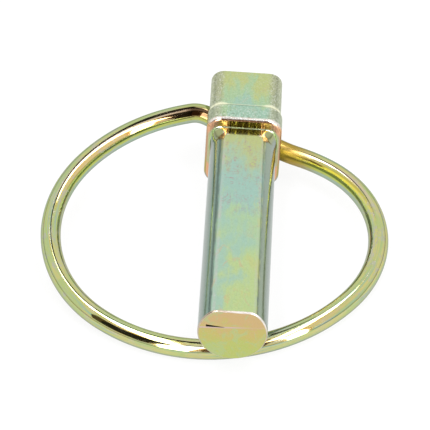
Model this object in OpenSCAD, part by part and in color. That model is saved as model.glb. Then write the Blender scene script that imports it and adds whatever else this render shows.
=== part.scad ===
// Lynch pin: a forged pin with a block head, and a spring wire ring that swings in a
// slanted cross hole through the head and closes under the tip of the shank.
// Millimetres. The origin is the centre of the shoulder, on the shank's axis.
// Tip towards -Y, head towards +Y, up is +Z. The pin lies as it comes to rest on its ring.

/* [Shank] */
// Diameter of the round shank
shank_d = 11; // [9:0.5:13.5]
// Length of the shank from the shoulder to the tip
shank_len = 45; // [37:0.5:55]
// Depth of the flat that runs along the top of the shank
flat_depth = 0.95; // [0.4:0.05:1.3]
// Chamfer round the tip
tip_chamfer = 0.35; // [0.1:0.05:0.8]
// Small slope that eases the shank into the shoulder
root_ease = 0.1; // [0.06:0.01:0.14]

/* [Head] */
// How far each side of the head stands out past the shank
head_step = 0.5; // [0.4:0.05:1.5]
// Length of the head from the shoulder to its far end
head_len = 13.3; // [11.5:0.1:17]
// How much further the head reaches below the shank than on its other sides
head_drop = 1.6; // [0:0.1:2.4]
// Corner radius of the head's section
head_corner_r = 2.25; // [1:0.05:3.5]
// Radius of the edges round the far end of the head
head_edge_r = 0.25; // [0.1:0.05:0.8]
// Radius of the collar's front and rear edges
collar_edge_r = 0.5; // [0.2:0.05:0.6]
// How far the collar stands out past the head
collar_lip = 0.27; // [0.1:0.01:0.6]
// Length of the collar
collar_len = 4.4; // [2:0.1:6]

/* [Ring] */
// Diameter of the spring wire
wire_d = 3.3; // [2.4:0.1:3.8]
// Reach of the ring to the left of the pin, to the middle of the wire
ring_left = 27.4; // [24:0.1:33]
// Reach of the ring to the right of the pin, to the middle of the wire
ring_right = 26.06; // [22:0.02:31]
// How far the left half turns before its side arc begins, in degrees
left_turn = 45.15; // [35:0.05:50]
// How far the right half turns before its side arc begins, in degrees
right_turn = 43.15; // [33:0.05:50]
// Distance from the tip to the middle of the wire where the ring passes under the shank
ring_inset = 5.14; // [4:0.02:8]
// Turn of the wire away from square across the shank, in degrees
ring_skew = 6.9; // [-10:0.1:10]
// Rise of the wire to the right under the shank, in degrees
ring_cant = 5.8; // [-8:0.1:8]
// Gap between the closed ring and the underside of the shank
ring_gap = 0.9; // [0.2:0.05:1.5]

/* [Ring hinge] */
// How far outside the head the wire bends towards the ring
bend_out = 1.75; // [1.6:0.05:3]
// Straight run that each of these bends replaces, on either side of its corner
bend_run = 1.5; // [0.6:0.05:1.6]
// Distance of the left bend behind the shoulder
left_bend_y = 8.7; // [7.5:0.05:9.5]
// Height of the left bend above the shank's axis
left_bend_z = 0.3; // [-1:0.05:1.5]
// Distance of the right bend behind the shoulder
right_bend_y = 3.05; // [2.8:0.05:4.5]
// Height of the right bend above the shank's axis
right_bend_z = -2.85; // [-3.2:0.05:0]
// Running clearance between the wire and its hole, on the radius
hole_clearance = 0.05; // [0.02:0.01:0.1]
// How deep each end of the wire sits in the head
wire_end_depth = 4.8; // [3:0.1:5.5]

/* [Rest] */
// How far the tip is lifted where the part lies on a flat surface, in degrees
lie_lift = 2; // [0:0.1:6]
// Roll of the pin about its own axis where it lies, in degrees
lie_roll = 4.37; // [-8:0.1:8]

/* [Hidden] */
$fn = 96;
joint_lip = 0.02;

shank_r = shank_d / 2;
flat_z = shank_r - flat_depth;
head_w = shank_d + 2 * head_step;
collar_w = head_w + 2 * collar_lip;
wire_r = wire_d / 2;
hole_r = wire_r + hole_clearance;

// The point under the shank where the two halves of the ring meet, and the wire's run there
near = [0, ring_inset - shank_len, -shank_r - ring_gap - wire_r];
run = [cos(ring_cant) * cos(ring_skew), cos(ring_cant) * sin(ring_skew), sin(ring_cant)];

// Corners of the two bends, one on each side of the head; the hinge axis joins them
left_bend = [-head_w / 2 - bend_out, left_bend_y, left_bend_z];
right_bend = [head_w / 2 + bend_out, right_bend_y, right_bend_z];
hinge_dir = unit(right_bend - left_bend);

function unit(v) = v / norm(v);

// Any unit vector square to v, for a v that isn't upright
function square_to(v) = unit(cross([0, 0, 1], v));

// Rigid placement that sends X to ex and Y to ey, two unit vectors at a right angle
function frame(ex, ey, at) = let (ez = cross(ex, ey)) [
    [ex.x, ey.x, ez.x, at.x],
    [ex.y, ey.y, ez.y, at.y],
    [ex.z, ey.z, ez.z, at.z],
    [0, 0, 0, 1]
];

// A four-centre oval's near and far arcs turn through t before its side arc takes over. These
// two shares of the turn set its radii from its half width a and half length b:
// end arc = (a * cos(t) - b * (1 - sin(t))) / oval_share(t)
function oval_share(t) = sin(t) + cos(t) - 1;

// Radius of the near and far arcs of a half oval whose far arc is cut short at a corner: the
// corner lies h away and s aside, and the arc's tangent reaches it over a length of run
function end_arc_r(a, t, h, s, run) =
    let (b0 = a * cos(t) / (1 - sin(t)), k = oval_share(t) / (1 - sin(t)),
         p = h - 2 * b0, q = 1 + 2 * k)
    (sqrt(p * p * q * q - (q * q - 1) * (p * p - run * run + s * s)) - p * q) / (q * q - 1);

// Radius of its side arc
function side_arc_r(a, b, t) = (b * sin(t) - a * (1 - cos(t))) / oval_share(t);

module lie_down() rotate([-lie_lift, 0, 0]) rotate([0, lie_roll, 0]) children();

// Round rod between two points
module rod(from, to, r) {
    along = unit(to - from);
    multmatrix(frame(square_to(along), cross(along, square_to(along)), from))
        cylinder(h = norm(to - from), r = r);
}

// ---- pin ----

module rounded_rect(w, h, r) {
    square([w - 2 * r, h], center = true);
    square([w, h - 2 * r], center = true);
    for (x = [-1, 1], y = [-1, 1])
        translate([x * (w / 2 - r), y * (h / 2 - r)]) circle(r);
}

// Bar of rounded section along Y, from y = 0 to y = len, with rounded end edges. It is as deep
// as it is wide, and head_drop deeper below.
module rounded_bar(w, len, corner_r, edge_r) {
    h = w + head_drop;
    translate([0, 0, -head_drop / 2]) intersection() {
        rotate([-90, 0, 0]) linear_extrude(len) rounded_rect(w, h, corner_r);
        translate([0, len / 2, -h / 2]) linear_extrude(h) rounded_rect(w, len, edge_r);
        translate([-w / 2, len / 2, 0]) rotate([90, 0, 90]) linear_extrude(w)
            rounded_rect(len, h, edge_r);
    }
}

module shank() {
    intersection() {
        rotate([90, 0, 0]) union() {
            translate([0, 0, -head_len / 2])
                cylinder(h = head_len / 2 + shank_len - tip_chamfer, r = shank_r);
            translate([0, 0, shank_len - tip_chamfer])
                cylinder(h = tip_chamfer, r1 = shank_r, r2 = shank_r - tip_chamfer);
        }
        translate([-shank_d, -shank_len - 1, -shank_d])
            cube([2 * shank_d, shank_len + head_len, shank_d + flat_z]);
    }
}

// Slope round the root of the shank, on the round side and on the flat alike
module shank_root() {
    intersection() {
        rotate([90, 0, 0]) cylinder(h = root_ease, r1 = shank_r + root_ease, r2 = shank_r);
        translate([0, -root_ease, flat_z]) rotate([45, 0, 0])
            translate([-shank_d, -shank_d, -2 * shank_d]) cube(2 * shank_d);
    }
}

module pin() {
    color("darkkhaki") lie_down() difference() {
        union() {
            shank();
            shank_root();
            rounded_bar(head_w, head_len, head_corner_r, head_edge_r);
            rounded_bar(collar_w, collar_len, head_corner_r + collar_lip, collar_edge_r);
        }
        // slanted cross hole that both ends of the wire turn in
        rod(left_bend, right_bend, hole_r);
    }
}

// ---- ring ----

// Bent wire in the XY plane, about a centre, from one angle to another. A ball a hair larger
// than the wire closes the joint at its far end.
module wire_arc(centre, r, from, to) {
    translate(centre) {
        rotate([0, 0, from])
            rotate_extrude(angle = to - from) translate([r, 0]) circle(wire_r);
        rotate([0, 0, to]) translate([r, 0]) sphere(wire_r + joint_lip);
    }
}

// Half of the ring, from the near point to its bend beside the head, then into the head.
// side is -1 for the left half and 1 for the right.
module ring_half(side, bend, reach, turn_out) {
    out = side * run;
    away = bend - near;
    up = unit(away - (away * out) * out);
    s = away * out;
    h = away * up;

    // the far arc's tangent passes through the bend's corner, bend_run away
    end_r = end_arc_r(reach, turn_out, h, s, bend_run);
    oval_len = h + end_r - sqrt(end_r * end_r + bend_run * bend_run - s * s);
    side_r = side_arc_r(reach, oval_len / 2, turn_out);
    end = atan2(s, h - oval_len + end_r) + atan2(bend_run, end_r);

    multmatrix(frame(out, up, near)) {
        wire_arc([0, end_r, 0], end_r, -90, turn_out - 90);
        wire_arc([reach - side_r, oval_len / 2, 0], side_r, turn_out - 90, 90 - turn_out);
        wire_arc([0, oval_len - end_r, 0], end_r, 90 - turn_out, 90 - end);
    }

    // the bend turns the wire from the ring's run to the hinge axis
    arrive = -cos(end) * out + sin(end) * up;
    inward = -side * hinge_dir;
    turn = acos(arrive * inward);
    bend_r = bend_run / tan(turn / 2);
    toward = unit(inward - (inward * arrive) * arrive);
    multmatrix(frame(arrive, toward, bend - bend_run * arrive))
        wire_arc([0, bend_r, 0], bend_r, -90, turn - 90);

    // straight end in the head
    rod(bend + bend_run * inward, bend + (bend_out / hinge_dir.x + wire_end_depth) * inward,
        wire_r);
}

module snap_ring() {
    color("goldenrod") lie_down() {
        ring_half(-1, left_bend, ring_left, left_turn);
        ring_half(1, right_bend, ring_right, right_turn);
        translate(near) sphere(wire_r + joint_lip);
    }
}

pin();
snap_ring();
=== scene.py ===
"""Lynch pin: a forged, zinc plated pin with a sprung wire ring, lying on a white table."""

from math import acos, atan2, cos, hypot, pi, radians, sin, sqrt, tan

import bmesh
import bpy
from mathutils import Matrix, Vector


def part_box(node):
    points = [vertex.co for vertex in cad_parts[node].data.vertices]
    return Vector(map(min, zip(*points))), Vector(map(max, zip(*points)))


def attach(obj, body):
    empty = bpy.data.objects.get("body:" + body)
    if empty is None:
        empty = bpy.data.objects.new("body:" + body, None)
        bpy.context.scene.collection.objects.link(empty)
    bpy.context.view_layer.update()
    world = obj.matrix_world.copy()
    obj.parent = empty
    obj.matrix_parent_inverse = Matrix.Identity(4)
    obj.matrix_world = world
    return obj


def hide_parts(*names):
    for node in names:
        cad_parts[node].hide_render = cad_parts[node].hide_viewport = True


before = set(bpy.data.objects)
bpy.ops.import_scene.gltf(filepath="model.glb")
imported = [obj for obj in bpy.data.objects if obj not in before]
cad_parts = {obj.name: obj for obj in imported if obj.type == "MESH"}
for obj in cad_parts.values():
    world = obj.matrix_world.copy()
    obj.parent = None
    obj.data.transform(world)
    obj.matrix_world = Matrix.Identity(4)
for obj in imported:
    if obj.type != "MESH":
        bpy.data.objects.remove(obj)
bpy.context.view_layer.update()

MM = 0.001

# ---------------------------------------------------------------- sizes
# as in the part's source, apart from what is marked and the softer edges and marks

SHANK_R = 5.5 * MM
SHANK_LEN = 45 * MM
SHANK_SIDES = 112
FLAT_TURN = radians(34.2)  # the flat's edges stand this far from straight up, round the shank
FLAT_LEAD = 0.12  # the soft edge begins this much turn inside the flat's edge, in radians
HEAD_W = 12 * MM
HEAD_LEN = 13.3 * MM
HEAD_DROP = 1.6 * MM
HEAD_CORNER_R = 2.25 * MM
HEAD_EDGE_R = 0.25 * MM
HEAD_SUNK = 1.5 * MM  # the head's front lies this far inside the collar
COLLAR_LIP = 0.27 * MM
COLLAR_LEN = 4.45 * MM  # 0.05 more than the part's, which its slope loses in the head
COLLAR_SLOPE = 0.55 * MM
COLLAR_EDGE_R = 0.5 * MM
COLLAR_REAR_R = 0.25 * MM
COLLAR_SUNK = 0.1 * MM  # the collar's slope runs this far into the head
ROOT_FILLET = 0.25 * MM
TIP_CHAMFER = 0.35 * MM
TIP_EDGE = 0.7 * MM  # width of the soft edges along the flat, at the tip
ROOT_EDGE = 0.25 * MM  # and at the shoulder
EDGE_POINTS = 7
SHEAR_Z = 1.25  # height of the shear mark on the cut end, in millimetres
SHEAR_SIZE = (2.9 * MM, 0.7 * MM, 0.46 * MM)
SHEAR_X = -2.75 * MM
FLARE = 0.95 * MM  # how far the flat's corners run out at the shoulder
FLARE_LEN = 1.8 * MM
FLARE_STEPS = 6
FLARE_RISE = 0.5  # how much of the flare goes upwards as well
ROOT_RUN = 2 * MM  # the shank runs this far on into the head
HOLE_LEN = 22 * MM
ON_PLANE = 1e-6  # two places this near are the same

WIRE_R = 1.649 * MM  # a hair under the part's, so that its facets stay inside
HOLE_R = 1.7 * MM
RING_LEFT = 27.4 * MM
RING_RIGHT = 26.06 * MM
LEFT_TURN = radians(45.15)
RIGHT_TURN = radians(43.15)
RING_INSET = 5.14 * MM
RING_SKEW = radians(6.9)
RING_CANT = radians(5.8)
RING_GAP = 0.9 * MM
BEND_OUT = 1.75 * MM
BEND_RUN = 1.5 * MM
LEFT_BEND = Vector((-HEAD_W / 2 - BEND_OUT, 8.7 * MM, 0.3 * MM))
RIGHT_BEND = Vector((HEAD_W / 2 + BEND_OUT, 3.05 * MM, -2.85 * MM))
WIRE_END_DEPTH = 4.8 * MM

LIE_LIFT = radians(2)
LIE_ROLL = radians(4.37)
LIE = Matrix.Rotation(-LIE_LIFT, 4, "X") @ Matrix.Rotation(LIE_ROLL, 4, "Y")

HINGE = (RIGHT_BEND - LEFT_BEND).normalized()
NEAR = Vector((0, RING_INSET - SHANK_LEN, -SHANK_R - RING_GAP - WIRE_R))
RUN = Vector((cos(RING_CANT) * cos(RING_SKEW), cos(RING_CANT) * sin(RING_SKEW), sin(RING_CANT)))


# ---------------------------------------------------------------- modelling helpers

def deselect_all():
    bpy.ops.object.select_all(action="DESELECT")


def start(name):
    """The primitive that was just added, named and opened for editing."""
    piece = bpy.context.object
    piece.name = piece.data.name = name
    bpy.ops.object.transform_apply(location=True, rotation=True, scale=True)
    bpy.ops.object.mode_set(mode="EDIT")
    return piece


def pick(piece, kind, test):
    """Selects the vertices, edges or faces that test accepts, and nothing else.

    The test is given each one's centre and the item itself.
    """
    bpy.ops.mesh.select_mode(type={"verts": "VERT", "edges": "EDGE", "faces": "FACE"}[kind])
    bpy.ops.mesh.select_all(action="DESELECT")
    mesh = bmesh.from_edit_mesh(piece.data)
    for item in getattr(mesh, kind):
        if kind == "verts":
            centre = item.co
        elif kind == "edges":
            centre = (item.verts[0].co + item.verts[1].co) / 2
        else:
            centre = item.calc_center_median()
        item.select = bool(test(centre, item))
    mesh.select_flush_mode()
    bmesh.update_edit_mesh(piece.data)


def runs_along(edge, axis):
    """True if both ends of an edge differ only along that axis."""
    step = edge.verts[1].co - edge.verts[0].co
    return abs(step[axis]) > 0.999 * step.length


def finish_piece(piece, smooth_angle=32):
    """Leaves edit mode, lays the piece down as it rests, and smooths it between sharp edges."""
    if bpy.context.mode != "OBJECT":
        bpy.ops.object.mode_set(mode="OBJECT")
    deselect_all()
    piece.select_set(True)
    bpy.context.view_layer.objects.active = piece
    piece.matrix_world = LIE @ piece.matrix_world
    bpy.ops.object.transform_apply(location=True, rotation=True, scale=True)
    bpy.ops.object.shade_smooth_by_angle(angle=radians(smooth_angle))


def apply_modifier(piece, kind, **settings):
    deselect_all()
    piece.select_set(True)
    bpy.context.view_layer.objects.active = piece
    modifier = piece.modifiers.new(kind.lower(), kind)
    for key, value in settings.items():
        setattr(modifier, key, value)
    bpy.ops.object.modifier_apply(modifier=modifier.name)


# ---------------------------------------------------------------- pin

def shank_outline(turn, edge_width):
    """A place on the shank's section, whose flat has soft edges this wide.

    The turn runs from straight up, to the right if it is positive.
    """
    flat_z = SHANK_R * cos(FLAT_TURN)
    start_turn = FLAT_TURN + edge_width / SHANK_R
    size = abs(turn)
    side = 1 if turn > 0 else -1
    if size >= start_turn:
        return Vector((side * SHANK_R * sin(size), 0, SHANK_R * cos(size)))
    # a soft curve from the flat to the round, through the corner they would make
    flat_x = SHANK_R * sin(FLAT_TURN) - edge_width
    share = (size - FLAT_TURN + FLAT_LEAD) / (start_turn - FLAT_TURN + FLAT_LEAD)
    corner = Vector((SHANK_R * sin(FLAT_TURN), 0, flat_z))
    end = Vector((SHANK_R * sin(start_turn), 0, SHANK_R * cos(start_turn)))
    begin = Vector((flat_x, 0, flat_z))
    at = begin * (1 - share) ** 2 + corner * 2 * share * (1 - share) + end * share ** 2
    return Vector((side * at.x, 0, at.z))


def build_shank():
    """Round bar with a flat on top, whose edges are softer towards the tip.

    The flat's corners run out near the shoulder, and the bar runs on into the head.
    """
    deselect_all()
    bpy.ops.mesh.primitive_circle_add(vertices=SHANK_SIDES, radius=SHANK_R, fill_type="NGON",
                                      location=(0, -SHANK_LEN, 0), rotation=(pi / 2, 0, 0))
    piece = start("pin_forging")
    bpy.ops.mesh.select_all(action="SELECT")
    for step in [SHANK_LEN - FLARE_LEN] + [FLARE_LEN / FLARE_STEPS] * FLARE_STEPS + [ROOT_RUN]:
        bpy.ops.mesh.extrude_region_move(TRANSFORM_OT_translate={"value": (0, step, 0)})
    # press the flat: seven points each side round its edge, the rest stay on the round
    mesh = bmesh.from_edit_mesh(piece.data)
    ends = {}
    for v in mesh.verts:
        ends.setdefault(round(v.co.y / MM, 2), []).append(v)
    for y_end, loop in ends.items():
        towards_tip = min(1, max(0, -y_end * MM - FLARE_LEN) / (SHANK_LEN - FLARE_LEN))
        soft = ROOT_EDGE + (TIP_EDGE - ROOT_EDGE) * towards_tip
        flare = FLARE * min(1, max(0, y_end * MM + FLARE_LEN) / FLARE_LEN) ** 2
        loop.sort(key=lambda v: atan2(v.co.x, v.co.z))
        half = len(loop) // 2
        first = FLAT_TURN - FLAT_LEAD
        last = FLAT_TURN + TIP_EDGE / SHANK_R
        turns = [first + (last - first) * k / EDGE_POINTS for k in range(EDGE_POINTS + 1)]
        rest = half - len(turns)
        turns += [last + (pi - last) * (k + 1) / (rest + 0.5) for k in range(rest)]
        for k, v in enumerate(loop):
            side = 1 if k >= half else -1
            rank = k - half if k >= half else half - 1 - k
            turn = turns[rank]
            if rank <= EDGE_POINTS:
                # every loop keeps the same points round the soft edge, so faces run straight
                turn = first + (FLAT_TURN + soft / SHANK_R - first) * rank / EDGE_POINTS
            at = shank_outline(side * turn, soft)
            # at the root the flat's corners run out to meet the square head
            past = turn - FLAT_TURN
            out = flare * max(0, cos(past * (1.6 if past > 0 else 5))) ** 1.5
            v.co.x = at.x + side * out
            v.co.z = at.z + out * FLARE_RISE * min(1, max(0, past / 0.3))
            v.co.z = min(v.co.z, SHANK_R * cos(FLAT_TURN))
    bmesh.update_edit_mesh(piece.data)
    bpy.ops.mesh.select_all(action="SELECT")
    bpy.ops.mesh.normals_make_consistent(inside=False)
    pick(piece, "edges", lambda c, e: abs(c.y + SHANK_LEN) < ON_PLANE)
    bpy.ops.mesh.bevel(offset=TIP_CHAMFER, segments=3, profile=0.6, affect="EDGES")
    bpy.ops.object.mode_set(mode="OBJECT")
    return piece


def build_block(name, width, length, corner_r):
    """Bar of rounded section, from the shoulder back. It reaches further down than up."""
    deselect_all()
    bpy.ops.mesh.primitive_cube_add(size=1, location=(0, length / 2, -HEAD_DROP / 2),
                                    scale=(width, length, width + HEAD_DROP))
    piece = start(name)
    pick(piece, "edges", lambda c, e: runs_along(e, 1))
    bpy.ops.mesh.bevel(offset=corner_r, segments=12, profile=0.5, affect="EDGES")
    return piece


def build_head():
    piece = build_block("head", HEAD_W, HEAD_LEN, HEAD_CORNER_R)
    pick(piece, "edges", lambda c, e: c.y > HEAD_LEN - ON_PLANE)
    bpy.ops.mesh.bevel(offset=HEAD_EDGE_R, segments=4, profile=0.5, affect="EDGES")
    pick(piece, "verts", lambda c, v: c.y < ON_PLANE)
    bpy.ops.transform.translate(value=(0, HEAD_SUNK, 0))
    bpy.ops.object.mode_set(mode="OBJECT")
    return piece


def build_collar():
    """Raised collar round the front of the head, rounded in front and sloping off behind."""
    piece = build_block("collar", HEAD_W + 2 * COLLAR_LIP, COLLAR_LEN - COLLAR_SLOPE,
                        HEAD_CORNER_R + COLLAR_LIP)
    pick(piece, "faces", lambda c, f: f.normal.y > 0.999)
    bpy.ops.mesh.extrude_region_move(TRANSFORM_OT_translate={"value": (0, COLLAR_SLOPE, 0)})
    inset = COLLAR_LIP + COLLAR_SUNK
    half_width = HEAD_W / 2 + COLLAR_LIP
    half_depth = (HEAD_W + HEAD_DROP) / 2 + COLLAR_LIP
    bpy.ops.transform.resize(value=(1 - inset / half_width, 1, 1 - inset / half_depth),
                             center_override=(0, COLLAR_LEN, -HEAD_DROP / 2))
    pick(piece, "edges", lambda c, e: abs(c.y - COLLAR_LEN + COLLAR_SLOPE) < ON_PLANE)
    bpy.ops.mesh.bevel(offset=COLLAR_REAR_R, segments=4, profile=0.5, affect="EDGES")
    pick(piece, "edges", lambda c, e: abs(c.y) < ON_PLANE)
    bpy.ops.mesh.bevel(offset=COLLAR_EDGE_R, segments=8, profile=0.5, affect="EDGES")
    bpy.ops.object.mode_set(mode="OBJECT")
    return piece


def cut(piece, tool, operation):
    """Joins a tool's solid to a piece, or takes it away."""
    apply_modifier(piece, "BOOLEAN", operation=operation, object=tool, solver="EXACT")
    bpy.data.objects.remove(tool)


def cut_shear_mark(piece):
    """A thin open wedge across the cut end, as shears would leave it."""
    deselect_all()
    bpy.ops.mesh.primitive_cube_add(size=1, scale=SHEAR_SIZE,
                                    location=(SHEAR_X, -SHANK_LEN, (SHEAR_Z + 0.15) * MM))
    tool = start("shear_mark")
    pick(tool, "faces", lambda c, f: f.normal.x > 0.9)
    bpy.ops.transform.resize(value=(1, 1, 0.15), center_override=(0, 0, (SHEAR_Z - 0.08) * MM))
    bpy.ops.object.mode_set(mode="OBJECT")
    cut(piece, tool, "DIFFERENCE")


def build_pin():
    """The whole forging: shank, collar and head in one, with its slanted cross hole."""
    piece = build_shank()
    cut(piece, build_collar(), "UNION")
    cut(piece, build_head(), "UNION")
    middle = (LEFT_BEND + RIGHT_BEND) / 2
    deselect_all()
    bpy.ops.mesh.primitive_cylinder_add(vertices=64, radius=HOLE_R, depth=HOLE_LEN, location=middle,
                                        rotation=HINGE.to_track_quat("Z", "Y").to_euler())
    cut(piece, bpy.context.object, "DIFFERENCE")
    deselect_all()
    piece.select_set(True)
    bpy.context.view_layer.objects.active = piece
    bpy.ops.object.mode_set(mode="EDIT")
    bpy.ops.mesh.select_all(action="SELECT")
    bpy.ops.mesh.remove_doubles(threshold=1e-7)
    bpy.ops.mesh.dissolve_limited(angle_limit=radians(0.05), delimit={"NORMAL"})
    # small fillet where the shank meets the shoulder
    pick(piece, "edges", lambda c, e: abs(c.y) < 2 * ON_PLANE and hypot(c.x, c.z) < SHANK_R + FLARE
         and max(abs(c.x), abs(c.z)) < SHANK_R + 0.1 * MM)
    bpy.ops.mesh.bevel(offset=ROOT_FILLET, segments=4, profile=0.5, affect="EDGES")
    bpy.ops.object.mode_set(mode="OBJECT")
    cut_shear_mark(piece)
    return piece


# ---------------------------------------------------------------- ring

def oval_radii(reach, turn, height, aside):
    """End radius, side radius and length of the half oval that reaches `reach` sideways.

    Its end arcs turn through `turn`, and the far one is cut short by the bend beside the head,
    `height` away and `aside` from the near point.
    """
    share = sin(turn) + cos(turn) - 1
    b0, k = reach * cos(turn) / (1 - sin(turn)), share / (1 - sin(turn))
    p, q = height - 2 * b0, 1 + 2 * k
    inner = p * p - BEND_RUN ** 2 + aside ** 2
    end_r = (sqrt(p * p * q * q - (q * q - 1) * inner) - p * q) / (q * q - 1)
    length = height + end_r - sqrt(end_r ** 2 + BEND_RUN ** 2 - aside ** 2)
    side_r = (length / 2 * sin(turn) - reach * (1 - cos(turn))) / share
    return end_r, side_r, length


def half_ring(side, bend, reach, turn):
    """The bends of one half of the ring, from the near point to the head.

    Gives (centre, axis, angle) for each arc, then the start of the straight end and its run.
    """
    out = side * RUN
    away = bend - NEAR
    up = (away - away.dot(out) * out).normalized()
    aside, height = away.dot(out), away.dot(up)
    end_r, side_r, length = oval_radii(reach, turn, height, aside)
    end = atan2(aside, height - length + end_r) + atan2(BEND_RUN, end_r)
    axis = out.cross(up)
    arcs = [(NEAR + up * end_r, axis, turn),
            (NEAR + out * (reach - side_r) + up * length / 2, axis, pi - 2 * turn),
            (NEAR + up * (length - end_r), axis, turn - end)]
    arrive = -cos(end) * out + sin(end) * up
    inward = -side * HINGE
    bend_turn = acos(arrive.dot(inward))
    bend_r = BEND_RUN / tan(bend_turn / 2)
    toward = (inward - inward.dot(arrive) * arrive).normalized()
    arcs.append((bend - BEND_RUN * arrive + toward * bend_r, arrive.cross(toward), bend_turn))
    return arcs, bend + BEND_RUN * inward, inward * (BEND_OUT / HINGE.x + WIRE_END_DEPTH - BEND_RUN)


# The wire's colour bands are laid out around this direction. It is chosen.
BAND_SIDE = Vector((0.05, -0.66, 0.75)).normalized()
ARC_STEP = radians(2.5)
WIRE_SIDES = 40


def build_ring():
    """One length of wire: a circle drawn out of the head, then spun round every bend in turn."""
    left, left_end, left_straight = half_ring(-1, LEFT_BEND, RING_LEFT, LEFT_TURN)
    right, _, right_straight = half_ring(1, RIGHT_BEND, RING_RIGHT, RIGHT_TURN)
    deselect_all()
    turn = left_straight.to_track_quat("Z", "Y").to_euler()
    bpy.ops.mesh.primitive_circle_add(vertices=WIRE_SIDES, radius=WIRE_R, fill_type="NGON",
                                      location=left_end + left_straight, rotation=turn)
    piece = start("ring_wire")
    bpy.ops.mesh.select_all(action="SELECT")

    def straight(move, steps):
        for _ in range(steps):
            bpy.ops.mesh.extrude_region_move(TRANSFORM_OT_translate={"value": move / steps})

    def bend_wire(centre, axis, angle):
        # the spin operator turns clockwise about its axis
        bpy.ops.mesh.spin(steps=max(4, round(abs(angle) / ARC_STEP)), angle=-angle, center=centre,
                          axis=axis, use_auto_merge=False)

    straight(-left_straight, 4)
    for centre, axis, angle in reversed(left):
        bend_wire(centre, axis, -angle)
    for centre, axis, angle in right:
        bend_wire(centre, axis, angle)
    straight(right_straight, 4)
    bpy.ops.mesh.select_all(action="SELECT")
    bpy.ops.mesh.remove_doubles(threshold=1e-7)
    bpy.ops.mesh.normals_make_consistent(inside=False)
    bpy.ops.object.mode_set(mode="OBJECT")
    return piece


def mark_wire(piece):
    """Stores two vectors on each vertex, for the wire's colours.

    "side" is how far it faces along BAND_SIDE either way, towards the middle of the ring, and
    towards the inner rim as it lies across BAND_SIDE. "wire" is how far along the wire it is and
    where round it, in millimetres. The circles of the wire follow each other in the mesh,
    WIRE_SIDES vertices each.
    """
    verts = piece.data.vertices
    loops = [[v.co.copy() for v in verts[i:i + WIRE_SIDES]]
             for i in range(0, len(verts), WIRE_SIDES)]
    middle = sum((v.co for v in verts), Vector()) / len(verts)
    centres = [sum(loop, Vector()) / len(loop) for loop in loops]
    sides = piece.data.attributes.new("side", "FLOAT_VECTOR", "POINT")
    for i, loop in enumerate(loops):
        tangent = centres[min(i + 1, len(loops) - 1)] - centres[max(i - 1, 0)]
        across = tangent.cross(BAND_SIDE).normalized()
        if across.dot(middle - centres[i]) < 0:
            across = -across
        inward = (middle - centres[i]).normalized()
        for k, co in enumerate(loop):
            out = (co - centres[i]).normalized()
            faces = (abs(out.dot(BAND_SIDE)), out.dot(inward), out.dot(across))
            sides.data[i * WIRE_SIDES + k].vector = faces
    marks = piece.data.attributes.new("wire", "FLOAT_VECTOR", "POINT")
    far = 0.0
    for i, centre in enumerate(centres):
        far += (centre - centres[max(i - 1, 0)]).length / MM
        for k in range(WIRE_SIDES):
            turn = 2 * pi * k / WIRE_SIDES
            place = (far, WIRE_R / MM * cos(turn), WIRE_R / MM * sin(turn))
            marks.data[i * WIRE_SIDES + k].vector = place


pin = build_pin()
finish_piece(pin, 28)
apply_modifier(pin, "WEIGHTED_NORMAL", mode="FACE_AREA", weight=100, keep_sharp=True)
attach(pin, "pin")
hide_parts("pin")

ring = build_ring()
mark_wire(ring)
finish_piece(ring, 40)
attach(ring, "ring")
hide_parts("snap_ring")


# ---------------------------------------------------------------- finishes

class Signal:
    """One value socket. Arithmetic on it adds Math nodes."""

    def __init__(self, tree, socket):
        self.tree, self.socket = tree, socket

    def _math(self, operation, *values):
        maths = self.tree.nodes.new("ShaderNodeMath")
        maths.operation = operation
        for slot_in, value in zip(maths.inputs, values):
            if isinstance(value, Signal):
                self.tree.links.new(value.socket, slot_in)
            else:
                slot_in.default_value = value
        return Signal(self.tree, maths.outputs[0])

    def __add__(self, other):
        return self._math("ADD", self, other)

    def __radd__(self, other):
        return self._math("ADD", other, self)

    def __sub__(self, other):
        return self._math("SUBTRACT", self, other)

    def __rsub__(self, other):
        return self._math("SUBTRACT", other, self)

    def __mul__(self, other):
        return self._math("MULTIPLY", self, other)

    def __rmul__(self, other):
        return self._math("MULTIPLY", other, self)

    def __truediv__(self, other):
        return self._math("DIVIDE", self, other)

    def __abs__(self):
        return self._math("ABSOLUTE", self)

    def least(self, other):
        return self._math("MINIMUM", self, other)

    def most(self, other):
        return self._math("MAXIMUM", self, other)


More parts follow.
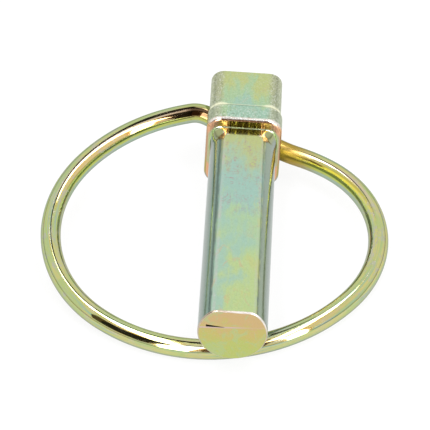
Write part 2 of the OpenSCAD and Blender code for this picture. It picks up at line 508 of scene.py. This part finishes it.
class Finish:
    """A material under construction."""

    def __init__(self, name):
        self.material = bpy.data.materials.new(name)
        self.material.use_nodes = True
        self.tree = self.material.node_tree
        self.shader = self.tree.nodes["Principled BSDF"]
        self.output = self.tree.nodes["Material Output"]

    def link(self, value, socket):
        if isinstance(value, Signal):
            self.tree.links.new(value.socket, socket)
        elif isinstance(value, bpy.types.NodeSocket):
            self.tree.links.new(value, socket)
        else:
            socket.default_value = value

    def node(self, kind, settings=None, values=None):
        """A node of one type, its settings made first, then the values or links of its sockets."""
        made = self.tree.nodes.new(kind)
        for key, value in (settings or {}).items():
            setattr(made, key, value)
        for key, value in (values or {}).items():
            self.link(value, made.inputs[key])
        return made

    def signal(self, socket):
        return Signal(self.tree, socket)

    def noise(self, place, scale, detail=2.0, roughness=0.5, distortion=0.0):
        made = self.node("ShaderNodeTexNoise", {"noise_dimensions": "3D"},
                         {"Vector": place, "Scale": scale, "Detail": detail, "Roughness": roughness,
                          "Distortion": distortion})
        return self.signal(made.outputs["Fac"])

    def ramp(self, value, low, high, out_low=0.0, out_high=1.0):
        """Smooth step of a value from low to high."""
        made = self.node("ShaderNodeMapRange", {"interpolation_type": "SMOOTHSTEP"},
                         {"Value": value, "From Min": low, "From Max": high,
                          "To Min": out_low, "To Max": out_high})
        return self.signal(made.outputs["Result"])

    def mix(self, first, second, share):
        made = self.node("ShaderNodeMix", {"data_type": "RGBA", "clamp_factor": True})
        self.link(share, made.inputs[0])
        for value, socket in ((first, made.inputs[6]), (second, made.inputs[7])):
            self.link((*value, 1) if isinstance(value, tuple) else value, socket)
        return made.outputs[2]

    def scaled(self, place, factors):
        made = self.node("ShaderNodeVectorMath", {"operation": "MULTIPLY"}, {0: place, 1: factors})
        return made.outputs[0]

    def pin_millimetres(self):
        """Place on the pin in millimetres, along its own axes, wherever the lain pin points."""
        coordinates = self.node("ShaderNodeTexCoord")
        laid = self.node("ShaderNodeMapping", {"vector_type": "TEXTURE"},
                         {"Vector": coordinates.outputs["Object"], "Rotation": LIE.to_euler("XYZ"),
                          "Scale": (MM, MM, MM)})
        return laid.outputs[0]

    def axes(self, place):
        made = self.node("ShaderNodeSeparateXYZ", values={0: place})
        return [self.signal(s) for s in made.outputs]

    def bump(self, height, distance, normal=None):
        values = {"Height": height, "Strength": 1.0, "Distance": distance}
        made = self.node("ShaderNodeBump", values=values)
        if normal is not None:
            self.link(normal, made.inputs["Normal"])
        return made.outputs[0]


# zinc and yellow passivate, as the layer's thickness tints it
MINT = (0.46, 0.64, 0.37)
SEA_BLUE = (0.38, 0.59, 0.50)
LIME = (0.52, 0.65, 0.30)
STRAW = (0.53, 0.58, 0.25)
PEACH = (0.66, 0.47, 0.28)
ROSE = (0.76, 0.42, 0.25)
GOLD = (0.80, 0.50, 0.14)
GREY_ZINC = (0.40, 0.44, 0.36)
OLIVE = (0.15, 0.12, 0.02)
UMBER = (0.10, 0.06, 0.02)

PIN_BUMP = 0.004 * MM
WIRE_BUMP = 0.003 * MM


def pin_finish():
    f = Finish("zinc_passivate_pin")
    place = f.pin_millimetres()
    x, y, z = f.axes(place)

    # clouds of film thickness, drawn out along the shank
    broad = f.noise(f.scaled(place, (0.26, 0.13, 0.26)), 1.0, 3, 0.5, 0.4)
    streak = f.noise(f.scaled(place, (1.1, 0.30, 1.1)), 1.0, 4, 0.6, 0.3)
    fine = f.noise(f.scaled(place, (4.5, 3.0, 4.5)), 1.0, 3, 0.65)
    speck = f.noise(f.scaled(place, (3.4, 2.8, 3.4)), 1.0, 3, 0.75)
    drift = broad * 0.6 + streak * 0.4 - 0.5

    # along the shank: straw by the shoulder, then blue, mint, and lime towards the tip
    along = y + drift * 30
    colour = f.mix(STRAW, SEA_BLUE, f.ramp(along, -4, -13))
    colour = f.mix(colour, MINT, f.ramp(along, -17, -22))
    colour = f.mix(colour, LIME, f.ramp(along, -26, -34))
    blue = f.ramp(broad * 0.7 + streak * 0.3 - x * 0.035, 0.42, 0.64)
    colour = f.mix(colour, SEA_BLUE, blue * f.ramp(y, -14, -20) * 0.8)
    yellow = f.ramp(broad * 0.6 + streak * 0.4 - x * 0.02, 0.44, 0.34)
    colour = f.mix(colour, (0.60, 0.60, 0.24), yellow * f.ramp(y, -8, -16) * 0.5)
    # on the head: sea green in front, straw at the far end and the corners
    head = f.ramp(y, 0.0, 0.3)
    far = along + abs(x) * 1.3 + streak * 4
    head_colour = f.mix((0.39, 0.60, 0.46), (0.44, 0.62, 0.36), f.ramp(far, 7, 11))
    head_colour = f.mix(head_colour, (0.54, 0.60, 0.25), f.ramp(far, 12, 17))
    colour = f.mix(colour, head_colour, head)
    # peach clouds near the tip, faint crooked lines where the film has crazed
    patches = f.noise(f.scaled(place, (0.5, 0.28, 0.5)), 1.0, 4, 0.6, 1.2)
    colour = f.mix(colour, PEACH, f.ramp(patches, 0.54, 0.68) * f.ramp(y, -24, -34, 0.15, 0.5))
    crazing = f.noise(f.scaled(place, (0.55, 0.8, 0.55)), 1.0, 4, 0.7, 1.5)
    lines = (f.ramp(abs(crazing - 0.5), 0.050, 0.01) * f.ramp(abs(y + 12), 11, 7)
             * f.ramp(z, 4.3, 4.5))
    colour = f.mix(colour, (0.44, 0.33, 0.33), lines * f.ramp(streak, 0.45, 0.6) * 0.8)
    # painted dark reflection on the round sides: greyer and darker than the flats, darker on the
    # left, then a lighter grey further round
    flat_top = f.ramp(abs(x), 3.35, 3.05) * f.ramp(z, 4.2, 4.45)
    shank_side = (1 - flat_top) * (1 - head)
    across = abs(x) + (streak - 0.5) * 0.8
    painted_side_reflection = f.mix((0.20, 0.29, 0.24), (0.27, 0.33, 0.27), f.ramp(x, -1, 1))
    colour = f.mix(colour, painted_side_reflection, shank_side * f.ramp(across, 3.4, 3.8) * 0.9)
    colour = f.mix(colour, (0.33, 0.37, 0.33), shank_side * f.ramp(across, 4.5, 5.0) * 0.9)
    # painted highlight: pale lines along the flat's soft edges, stronger on the left
    soft = f.ramp(abs(abs(x) - 3.2), 0.45, 0.1) * f.ramp(z, 3.9, 4.3) * (1 - head)
    soft = soft * f.ramp(streak, 0.40, 0.58, 0.25, 1.0) * f.ramp(x, 1, -1, 0.5, 1.0)
    colour = f.mix(colour, (0.58, 0.58, 0.54), soft * f.ramp(fine, 0.35, 0.55, 0.2, 0.65))
    # where the flat's corners run out to the shoulder: olive green, and a painted peach glint
    # inside it
    root = f.ramp(y, -2.6, -1.5) * f.ramp(z, 2.4, 3.6) * (1 - head)
    colour = f.mix(colour, (0.38, 0.40, 0.18), root * f.ramp(abs(x), 2.5, 3.0) * 0.9)
    painted_glint = f.ramp(abs(abs(x) - 2.95), 0.60, 0.35) * f.ramp(y, -2.1, -1.7)
    colour = f.mix(colour, (0.96, 0.90, 0.78), painted_glint * root)
    corner = f.ramp(abs(x), 3.4, 4.6) * head
    colour = f.mix(colour, (0.45, 0.47, 0.31), corner * 0.8)
    colour = f.mix(colour, GREY_ZINC, f.ramp(fine, 0.48, 0.72) * f.ramp(head, 0, 1, 0.2, 0.4))
    # grains, dense on the corners and the collar where the plating is roughest
    collar = f.ramp(y, 4.4, 3.9) * f.ramp(y, 0.2, 0.5)
    grainy = (corner * 0.9).most(collar * f.ramp(y, 3.0, 0.6, 0.25, 0.8))
    grainy = grainy + f.ramp(head, 0, 1, 0.10, 0.25)
    colour = f.mix(colour, (0.80, 0.80, 0.76), f.ramp(speck, 0.54, 0.64) * grainy * 0.75)
    colour = f.mix(colour, (0.20, 0.22, 0.15), f.ramp(speck, 0.45, 0.36) * grainy * 0.7)
    # painted highlight on the line where the collar slopes off behind, brightest at the corners
    crease_highlight = f.ramp(abs(y - 4.22), f.ramp(abs(x), 2.6, 3.8, 0.34, 0.85), 0.10)
    colour = f.mix(colour, (1.0, 1.0, 0.72), crease_highlight * f.ramp(abs(x), 2.2, 3.6, 0.45, 1.0))

    # collar's rounded front edge, with a speckled painted highlight along its top
    front = f.ramp(y, 0.46, 0.30) * f.ramp(y, 0.0, 0.03)
    top_edge_highlight = f.ramp(z, 4.6, 5.6) * f.ramp(y, 0.04, 0.2)
    side_edge = f.mix((0.46, 0.36, 0.11), (0.55, 0.33, 0.19), f.ramp(z, -3.6, -1.6))
    side_edge = f.mix(side_edge, (0.40, 0.38, 0.33), f.ramp(z, -5.0, -6.4))
    edge_colour = f.mix(side_edge, ROSE, f.ramp(z, 2.5, 4.5))
    edge_colour = f.mix(edge_colour, (0.92, 0.88, 0.84), top_edge_highlight * f.ramp(speck, 0.30, 0.50))
    colour = f.mix(colour, edge_colour, front.most(top_edge_highlight * f.ramp(y, 0.9, 0.5)) * 0.92)
    # shoulder, marked by the tool that struck it; its dark middle is a painted dark reflection
    struck = f.noise(f.scaled(place, (4.2, 0.3, 0.30)), 1.0, 3, 0.75, 0.2)
    struck_marks_and_dark_reflection = f.mix(OLIVE, (0.80, 0.66, 0.16), f.ramp(struck, 0.52, 0.62))
    struck_marks_and_dark_reflection = f.mix(struck_marks_and_dark_reflection, UMBER, f.ramp(struck, 0.46, 0.38))
    struck_marks_and_dark_reflection = f.mix(struck_marks_and_dark_reflection, GOLD, f.ramp(abs(x), 2.5, 3.0))
    struck_marks_and_dark_reflection = f.mix(struck_marks_and_dark_reflection, ROSE, f.ramp(abs(x), 4.0, 4.6))
    near_shank = f.ramp(x * x + z * z, 46, 42) * f.ramp(abs(x), 4.3, 4.7)
    struck_marks_and_dark_reflection = f.mix(struck_marks_and_dark_reflection, (0.42, 0.50, 0.30), near_shank * 0.8)
    shoulder = f.ramp(y, -0.04, -0.015) * f.ramp(y, 0.04, 0.015)
    colour = f.mix(colour, struck_marks_and_dark_reflection, shoulder)
    # the fillet under the shoulder: green, with a pale mint painted highlight along its top
    fillet = f.ramp(y, -0.32, -0.22) * f.ramp(y, -0.015, -0.04)
    fillet_colour = f.mix((0.44, 0.60, 0.26), (0.74, 0.86, 0.56), f.ramp(z, 3.6, 4.4))
    colour = f.mix(colour, fillet_colour, fillet * 0.85)

    # cut end of the tip, peach above and lime below, with a mark left by the shears and a pale rim
    # that is a painted highlight, brightest at the upper right
    end = f.ramp(y, -44.6, -44.8)
    shade_of_end = z + drift * 12 + (fine - 0.5) * 4
    end_colour = f.mix((0.47, 0.53, 0.16), (0.55, 0.48, 0.16), f.ramp(shade_of_end, -3.5, 0))
    end_colour = f.mix(end_colour, (0.60, 0.43, 0.20), f.ramp(shade_of_end, 0.2, 2.6))
    end_colour = f.mix(end_colour, (0.43, 0.54, 0.26), f.ramp(patches, 0.50, 0.62) * 0.6)
    sheared = f.ramp(abs(z - SHEAR_Z - x * 0.05), 0.26, 0.05) * f.ramp(x, 3.5, -1.0, 0.15, 0.9)
    end_colour = f.mix(end_colour, (0.62, 0.46, 0.42), sheared)
    end_colour = f.mix(end_colour, (0.62, 0.48, 0.40), f.ramp(fine, 0.52, 0.68) * 0.35)
    # painted highlight on the rim, brightest at the upper right
    rim = f.ramp(y, -44.99, -44.97)
    rim_highlight_colour = f.mix((0.56, 0.47, 0.38), (0.86, 0.82, 0.78), f.ramp(x + z * 1.6, 5.0, 8.5))
    end_colour = f.mix(end_colour, rim_highlight_colour, rim * f.ramp(speck, 0.25, 0.5, 0.5, 0.95))
    colour = f.mix(colour, end_colour, end)
    # painted shade inside the shear mark
    notch_shade = (f.ramp(y, -44.97, -44.93) * f.ramp(y, -44.4, -44.5) * f.ramp(x, -4.5, -4.3)
             * f.ramp(x, -0.9, -1.1) * f.ramp(abs(z - SHEAR_Z - 0.2), 0.75, 0.65))
    colour = f.mix(colour, UMBER, notch_shade)

    f.link(colour, f.shader.inputs["Base Color"])
    f.shader.inputs["Metallic"].default_value = 1
    f.shader.inputs["Specular Tint"].default_value = (0.80, 0.83, 0.83, 1)
    rough = (f.ramp(fine * 0.6 + streak * 0.4, 0.3, 0.7, 0.08, 0.2) + corner * 0.16
             + end * rim * 0.18 + collar * 0.06)
    f.link(rough, f.shader.inputs["Roughness"])
    ripple = f.noise(f.scaled(place, (0.8, 0.35, 0.8)), 1.0, 2, 0.5)
    drawn = f.noise(f.scaled(place, (9.0, 1.0, 9.0)), 1.0, 3, 0.6)
    height = (ripple * 3.0 + drawn * 0.5 + speck * (grainy * 2.2 + end * rim * 3)
              + struck * shoulder * 8)
    f.link(f.bump(height, PIN_BUMP), f.shader.inputs["Normal"])
    return f.material


def wire_finish():
    f = Finish("zinc_passivate_wire")
    along = f.node("ShaderNodeAttribute", {"attribute_name": "wire"}).outputs["Vector"]
    side = f.node("ShaderNodeAttribute", {"attribute_name": "side"}).outputs["Vector"]
    facing, inner, across = f.axes(side)
    place = f.pin_millimetres()
    x, y, z = f.axes(place)
    streak = f.noise(f.scaled(along, (0.06, 2.2, 2.2)), 1.0, 4, 0.6, 0.2)
    hair = f.noise(f.scaled(along, (0.10, 9.0, 9.0)), 1.0, 2, 0.6)
    fine = f.noise(f.scaled(along, (0.9, 5.0, 5.0)), 1.0, 3, 0.65)
    mottle = f.noise(f.scaled(along, (0.55, 1.5, 1.5)), 1.0, 4, 0.65, 0.6)
    cloud = f.noise(place, 0.16, 3, 0.5, 0.5)
    inside = f.ramp(inner, -0.15, 0.25)
    by_sides = f.ramp(abs(x), 14, 24)
    by_top = f.ramp(y, -16, -5)

    # lime green where the film is even, straw and teal streaks drawn along the wire
    straw = f.ramp(streak + (cloud - 0.5) * 0.6, 0.48, 0.62)
    colour = f.mix((0.47, 0.56, 0.22), (0.60, 0.57, 0.22), straw)
    colour = f.mix(colour, (0.35, 0.50, 0.36), f.ramp(streak, 0.46, 0.36) * 0.9)
    colour = f.mix(colour, (0.50, 0.47, 0.46), f.ramp(hair, 0.54, 0.66) * 0.45)
    # near the head, bands from pale through gold and lime to teal, towards the inner rim: the pale
    # band is a painted highlight, the gold band on the right a painted reflection of the head, and
    # the thin dark line on the left a painted dark reflection
    right = f.ramp(x, -2, 2)
    lane = across + (streak - 0.5) * 0.16
    colour = f.mix(colour, (0.33, 0.46, 0.42), by_top * f.ramp(lane, 0.70, 0.86) * 0.8)
    lime = f.ramp(lane, 0.32, 0.44) * f.ramp(lane, 0.88, 0.74)
    colour = f.mix(colour, (0.50, 0.56, 0.12), by_top * lime * 0.9)
    head_reflection_gold = f.mix((0.56, 0.46, 0.06), (0.90, 0.75, 0.07), f.ramp(lane, 0.12, 0.26))
    gold = f.mix((0.74, 0.54, 0.22), head_reflection_gold, right)
    gold_band = f.ramp(lane + right * -0.16, -0.22, -0.10) * f.ramp(lane, 0.46, 0.36)
    colour = f.mix(colour, gold, by_top * gold_band * 0.9)
    thin_dark_reflection = f.ramp(abs(lane - 0.38), 0.08, 0.01) * (1 - right)
    colour = f.mix(colour, (0.26, 0.24, 0.04), by_top * thin_dark_reflection * 0.7)
    # painted highlight: pale band where the lamps' highlight lies
    colour = f.mix(colour, (0.68, 0.54, 0.42), by_top * f.ramp(abs(lane + 0.26), 0.18, 0.10) * 0.8)
    facing_streaked = facing + (streak - 0.5) * 0.25
    peach = f.ramp(facing_streaked, 0.86, 0.97) * (1 - by_sides * 0.8) * (1 - by_top * 0.8)
    colour = f.mix(colour, (0.72, 0.46, 0.20), peach * f.ramp(inner, -0.1, 0.4, 0.35, 0.85))
    # grey at the rims, where the wire turns away from BAND_SIDE
    rim = f.ramp(facing + (streak - 0.5) * 0.15, 0.48, 0.18)
    colour = f.mix(colour, (0.43, 0.46, 0.37), rim * (0.8 - inside * by_top * 0.6))
    # painted dark reflection: a darker line inside each side of the ring
    line = f.ramp(abs(facing - 0.52 - (streak - 0.5) * 0.1), 0.10, 0.02) * inside * by_sides
    colour = f.mix(colour, (0.20, 0.27, 0.16), line * (1 - by_top) * 0.75)
    # grey-lavender where the film is rubbed thin in patches
    patch = (f.ramp(mottle + (cloud - 0.5) * 0.4, 0.52, 0.60)
             * f.ramp(by_sides, 0.0, 1.0, 0.25, 0.75))
    colour = f.mix(colour, (0.48, 0.46, 0.45), patch * 0.7)
    colour = f.mix(colour, (0.62, 0.62, 0.56), f.ramp(fine, 0.56, 0.74) * 0.4)
    colour = f.mix(colour, (0.28, 0.30, 0.20), f.ramp(fine, 0.42, 0.28) * 0.35)
    # the ends are darker gold near the head, most on the right; on the left end, painted dark
    # reflections
    by_head = f.ramp(abs(x), 14.0, 8.0) * f.ramp(y, -8, 0)
    colour = f.mix(colour, (0.42, 0.26, 0.03), by_head * f.ramp(x, -2, 2, 0.1, 0.85))
    # painted dark reflection: dark brown streaks on the left end near the head
    left_end_dark_reflection = f.ramp(x, -16, -8) * f.ramp(x, 0, -2) * f.ramp(y, -8, 0) * f.ramp(facing, 0.75, 0.92)
    colour = f.mix(colour, (0.40, 0.20, 0.10), left_end_dark_reflection * f.ramp(streak, 0.40, 0.55, 0.2, 0.7))
    # painted dark reflection: near black on the left bend, where it faces BAND_SIDE
    bend = f.ramp(x, -10.5, -8.8) * f.ramp(x, -1, -2) * f.ramp(facing, 0.86, 0.94) * f.ramp(y, -2, 0)
    colour = f.mix(colour, (0.07, 0.04, 0.02), bend * 0.85)
    f.link(colour, f.shader.inputs["Base Color"])
    f.shader.inputs["Metallic"].default_value = 1
    f.shader.inputs["Specular Tint"].default_value = (0.60, 0.63, 0.56, 1)
    rough = (f.ramp(fine, 0.3, 0.7, 0.03, 0.07) + patch * 0.10 + by_head * f.ramp(x, 0, 4) * 0.26
             + f.ramp(hair, 0.56, 0.68) * 0.12)
    f.link(rough, f.shader.inputs["Roughness"])
    height = streak * 1.2 + hair * 0.35 + fine * 0.35
    f.link(f.bump(height, WIRE_BUMP), f.shader.inputs["Normal"])
    return f.material


def dress(piece, material):
    piece.data.materials.clear()
    piece.data.materials.append(material)


dress(pin, pin_finish())
dress(ring, wire_finish())

# ---------------------------------------------------------------- table and light

TABLE_OWN_WHITE = 0.86  # share of the table's own white, the rest is lit white with a shadow

floor_z = min(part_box("pin")[0].z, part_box("snap_ring")[0].z)
deselect_all()
bpy.ops.mesh.primitive_plane_add(size=8, location=(0, 0, floor_z))
floor = bpy.context.object
floor.name = "table"


def table_finish():
    """White table that shows white by itself and keeps a faint shadow under the part."""
    f = Finish("white_table")
    f.shader.inputs["Base Color"].default_value = (0.93, 0.93, 0.93, 1)
    f.shader.inputs["Roughness"].default_value = 0.9
    f.shader.inputs["Specular IOR Level"].default_value = 0
    rays = f.node("ShaderNodeLightPath").outputs
    seen = (f.signal(rays["Is Camera Ray"]) + f.signal(rays["Is Glossy Ray"])
            + f.signal(rays["Is Transmission Ray"]))
    share = seen.least(1.0) * TABLE_OWN_WHITE
    white = f.node("ShaderNodeEmission", values={"Color": (1, 1, 1, 1), "Strength": 1.0})
    both = f.node("ShaderNodeMixShader",
                  values={0: share, 1: f.shader.outputs[0], 2: white.outputs[0]})
    f.tree.links.new(both.outputs[0], f.output.inputs["Surface"])
    return f.material


dress(floor, table_finish())


def glow(name, colour, strength):
    f = Finish(name)
    lit = f.node("ShaderNodeEmission", values={"Color": (*colour, 1), "Strength": strength})
    f.tree.links.new(lit.outputs[0], f.output.inputs["Surface"])
    return f.material


STUDIO_TURN = Matrix.Rotation(radians(-1.77), 4, "X")  # tips every lamp and cloth together


def hang(panel, name, material):
    """Names, tilts and hides a panel that only lights the part."""
    bpy.context.view_layer.update()
    panel.matrix_world = STUDIO_TURN @ panel.matrix_world
    panel.name = name
    panel.visible_camera = False
    dress(panel, material)


def card(name, material, azimuth, elevation, width, height, distance=2.0, centre=(0, 0, 0)):
    """Flat panel that faces the part from a direction.

    Angles are in degrees: azimuth 0 is +Y, 90 is +X.
    """
    around, up = radians(azimuth), radians(elevation)
    towards = Vector((sin(around) * cos(up), cos(around) * cos(up), sin(up)))
    deselect_all()
    turn = (-towards).to_track_quat("Z", "Y")
    bpy.ops.mesh.primitive_plane_add(size=1, location=Vector(centre) + towards * distance,
                                     rotation=turn.to_euler())
    panel = bpy.context.object
    panel.scale = (2 * distance * tan(radians(width / 2)),
                   2 * distance * tan(radians(height / 2)), 1)
    hang(panel, name, material)


def ceiling_strip(name, material, start_at, end_at, width, height=0.40):
    """Long lamp under the ceiling, between two places given as shares of its height."""
    a, b = Vector(start_at) * height, Vector(end_at) * height
    deselect_all()
    middle = (a + b) / 2
    bpy.ops.mesh.primitive_plane_add(size=1, location=(middle.x, middle.y, height),
                                     rotation=(pi, 0, -atan2(b.x - a.x, b.y - a.y)))
    panel = bpy.context.object
    panel.scale = (width * height, (b - a).length, 1)
    hang(panel, name, material)


LOWER_LEFT_OF_RING = (-0.017, -0.036, 0)  # the left cloths hang close to this part of the ring

bright = glow("lamp_white", (0.94, 0.95, 1.0), 8.0)
warm = glow("warm_wood", (1.0, 0.66, 0.38), 1.1)
shade = glow("brown_cloth", (1.0, 0.62, 0.35), 0.16)
dark = glow("black_cloth", (1.0, 0.9, 0.8), 0.03)
dusk = glow("dim_wall", (0.93, 0.97, 1.0), 0.48)

ceiling_strip("lamp_left_overhead", bright, (-0.20, 0.44), (-0.36, -0.95), 0.18)
ceiling_strip("lamp_right_overhead", bright, (0.21, 0.42), (0.55, -0.95), 0.17)
ceiling_strip("frame_left_overhead", warm, (-0.23, 0.47), (-0.41, -0.99), 0.30, height=0.41)
ceiling_strip("frame_right_overhead", warm, (0.24, 0.46), (0.60, -0.99), 0.28, height=0.41)
card("lamp_left_front", bright, -160, 34, 16, 56)
card("lamp_right_front", bright, 137, 27, 12, 56)
card("frame_left_front", warm, -160, 34, 21, 60, distance=2.1)
card("frame_right_front", warm, 137, 27, 17, 60, distance=2.1)
card("cloth_behind_camera", shade, 171, 42, 34, 62, distance=2.25)
card("dark_behind_camera", dark, 160, 40, 10, 62, distance=2.2)
card("cloth_left", shade, -132, 38, 34, 46, distance=0.21, centre=LOWER_LEFT_OF_RING)
card("dark_left", dark, -134, 40, 26, 40, distance=0.2, centre=LOWER_LEFT_OF_RING)
ceiling_strip("cloth_overhead", dark, (-0.09, 0.68), (0.01, 0.04), 0.17, height=0.395)

WALL_R = 2.6
WALL_HEIGHT = 0.3

deselect_all()
bpy.ops.mesh.primitive_cylinder_add(vertices=96, radius=WALL_R, depth=WALL_HEIGHT,
                                    end_fill_type="NOTHING", location=(0, 0, floor_z + 0.05))
wall = bpy.context.object
wall.name = "wall"
wall.visible_camera = False
dress(wall, dusk)


HORIZON_TOP = radians(18)
HORIZON_LEVEL = 0.5


def light_room():
    """White room, brighter overhead than at the horizon."""
    world = bpy.data.worlds.new("studio")
    bpy.context.scene.world = world
    world.use_nodes = True
    nodes, links = world.node_tree.nodes, world.node_tree.links
    direction = nodes.new("ShaderNodeTexCoord")
    parts = nodes.new("ShaderNodeSeparateXYZ")
    rise = nodes.new("ShaderNodeMapRange")
    rise.interpolation_type = "SMOOTHSTEP"
    rise.inputs["From Min"].default_value = 0.0
    rise.inputs["From Max"].default_value = sin(HORIZON_TOP)
    rise.inputs["To Min"].default_value = HORIZON_LEVEL
    rise.inputs["To Max"].default_value = 1.0
    links.new(direction.outputs["Generated"], parts.inputs[0])
    links.new(parts.outputs["Z"], rise.inputs["Value"])
    links.new(rise.outputs["Result"], nodes["Background"].inputs["Strength"])
    nodes["Background"].inputs["Color"].default_value = (1, 1, 1, 1)


light_room()

# ---------------------------------------------------------------- camera

EYE = Vector((0.021584, -0.387679, 0.345438))
AIM = Vector((-0.003968, -0.016149, 0))
ROLL = radians(-2.234)
LENS = 260.8
SENSOR_WIDTH = 36

camera_data = bpy.data.cameras.new("camera")
camera_data.lens = LENS
camera_data.sensor_width = SENSOR_WIDTH
camera_data.clip_start = 0.01
camera_data.clip_end = 20
camera = bpy.data.objects.new("camera", camera_data)
camera.rotation_mode = "QUATERNION"
camera.location = EYE
roll = Matrix.Rotation(ROLL, 3, "Z").to_quaternion()
camera.rotation_quaternion = (AIM - EYE).to_track_quat("-Z", "Y") @ roll
bpy.context.scene.collection.objects.link(camera)
bpy.context.scene.camera = camera
bpy.context.scene.view_settings.view_transform = "Standard"
